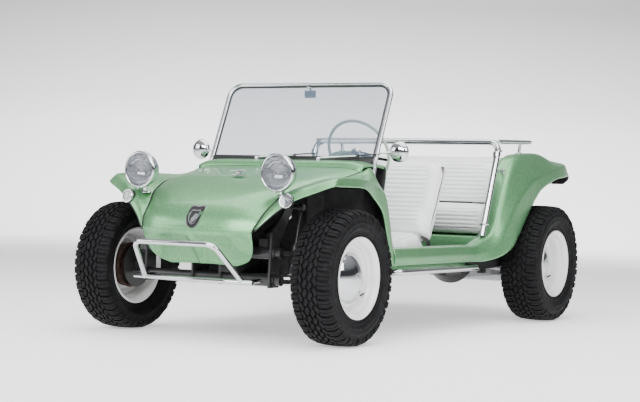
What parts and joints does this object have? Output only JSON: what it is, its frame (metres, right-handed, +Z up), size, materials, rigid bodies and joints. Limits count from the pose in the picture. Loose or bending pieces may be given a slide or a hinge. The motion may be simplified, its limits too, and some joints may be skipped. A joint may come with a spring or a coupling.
{
  "type": "long-wheelbase beach buggy",
  "caption": "Open 2+2 beach buggy with a fibreglass shell, white pleated seats, wide off-road tyres, chrome rails and a framed windshield; wheels roll and steer.",
  "frame": {"origin": "on the ground under the middle of the car's overall length and width", "axes": "+X to the car's left, +Y to the car's rear, so the front faces -Y, +Z up"},
  "size_m": [1.7, 3.6501, 1.3922],
  "materials": {
    "green_gelcoat": "gloss",
    "black_gelcoat": "satin",
    "black_steel": "satin",
    "polished_frame": "polished",
    "clear_glass": "clear",
    "bright_chrome": "polished",
    "lamp_lens": "gloss",
    "red_lens": "gloss",
    "black_plastic": "satin",
    "white_vinyl": "satin",
    "cast_metal": "as cast",
    "rim_plastic": "gloss",
    "tyre_rubber": "matt",
    "white_rim": "gloss"
  },
  "bodies": {
    "chassis": {"floor_pan": "black_steel", "front_axle_beam": "black_steel", "front_trailing_arms": "black_steel", "front_shocks": "bright_chrome", "hood_cover": "green_gelcoat", "hood_latch": "bright_chrome", "front_fender_left": "green_gelcoat", "front_fender_right": "green_gelcoat", "cowl_and_dash": "green_gelcoat", "footwell": "black_gelcoat", "side_sills": "green_gelcoat", "rear_fender_left": "green_gelcoat", "rear_fender_right": "green_gelcoat", "rear_tub": "green_gelcoat", "windshield_frame": "polished_frame", "windshield_glass": "clear_glass", "wipers": "black_plastic", "mirrors": "bright_chrome", "front_bumper": "bright_chrome", "roll_bar": "bright_chrome", "side_steps": "bright_chrome", "headlights": "bright_chrome", "turn_signals": "lamp_lens", "tail_lights": "red_lens", "front_seat_left": "white_vinyl", "front_seat_right": "white_vinyl", "rear_bench": "white_vinyl", "steering_column": "black_steel", "shift_levers": "bright_chrome", "foot_pedals": "black_plastic", "transaxle": "cast_metal", "rear_suspension": "black_steel", "rear_shocks": "bright_chrome", "engine_block": "cast_metal", "fan_shroud": "black_plastic", "exhaust": "bright_chrome", "rear_bumper": "bright_chrome"},
    "knuckle_left": {"knuckle_left": "black_steel"},
    "knuckle_right": {"knuckle_right": "black_steel"},
    "tie_rod": {"tie_rod": "black_steel"},
    "steering_wheel": {"steering_wheel": "rim_plastic"},
    "road_wheel_front_left": {"tyre_front_left": "tyre_rubber", "wheel_front_left": "white_rim"},
    "road_wheel_front_right": {"tyre_front_right": "tyre_rubber", "wheel_front_right": "white_rim"},
    "road_wheel_rear_left": {"tyre_rear_left": "tyre_rubber", "wheel_rear_left": "white_rim"},
    "road_wheel_rear_right": {"tyre_rear_right": "tyre_rubber", "wheel_rear_right": "white_rim"}
  },
  "joints": [
    {"name": "spin_front_left", "type": "hinge", "parent": "knuckle_left", "child": "road_wheel_front_left", "pos_m": [0.678, -1.29, 0.346], "axis": [1, 0, 0], "continuous": true},
    {"name": "spin_front_right", "type": "hinge", "parent": "knuckle_right", "child": "road_wheel_front_right", "pos_m": [-0.678, -1.29, 0.346], "axis": [1, 0, 0], "continuous": true},
    {"name": "spin_rear_left", "type": "hinge", "parent": "chassis", "child": "road_wheel_rear_left", "pos_m": [0.731, 1.11, 0.363], "axis": [1, 0, 0], "continuous": true},
    {"name": "spin_rear_right", "type": "hinge", "parent": "chassis", "child": "road_wheel_rear_right", "pos_m": [-0.731, 1.11, 0.363], "axis": [1, 0, 0], "continuous": true},
    {"name": "steer_left", "type": "hinge", "parent": "chassis", "child": "knuckle_left", "pos_m": [0.56, -1.29, 0.346], "axis": [0, 0, 1], "range_deg": [-30, 30]},
    {"name": "steer_right", "type": "hinge", "parent": "chassis", "child": "knuckle_right", "pos_m": [-0.56, -1.29, 0.346], "axis": [0, 0, 1], "range_deg": [-30, 30]},
    {"name": "tie_rod_slide", "type": "slide", "parent": "chassis", "child": "tie_rod", "axis": [1, 0, 0], "range_m": [-0.072, 0.072]},
    {"name": "steering_wheel_turn", "type": "hinge", "parent": "chassis", "child": "steering_wheel", "pos_m": [0.24, -0.39, 1.006], "axis": [0, 0.8988, 0.4384], "range_deg": [-425, 425]}
  ],
  "couplings": [
    {"joint": "steer_right", "follows": "steer_left", "ratio": 1},
    {"joint": "tie_rod_slide", "follows": "steer_left", "m_per_rad": -0.128},
    {"joint": "steering_wheel_turn", "follows": "steer_left", "ratio": 14}
  ]
}
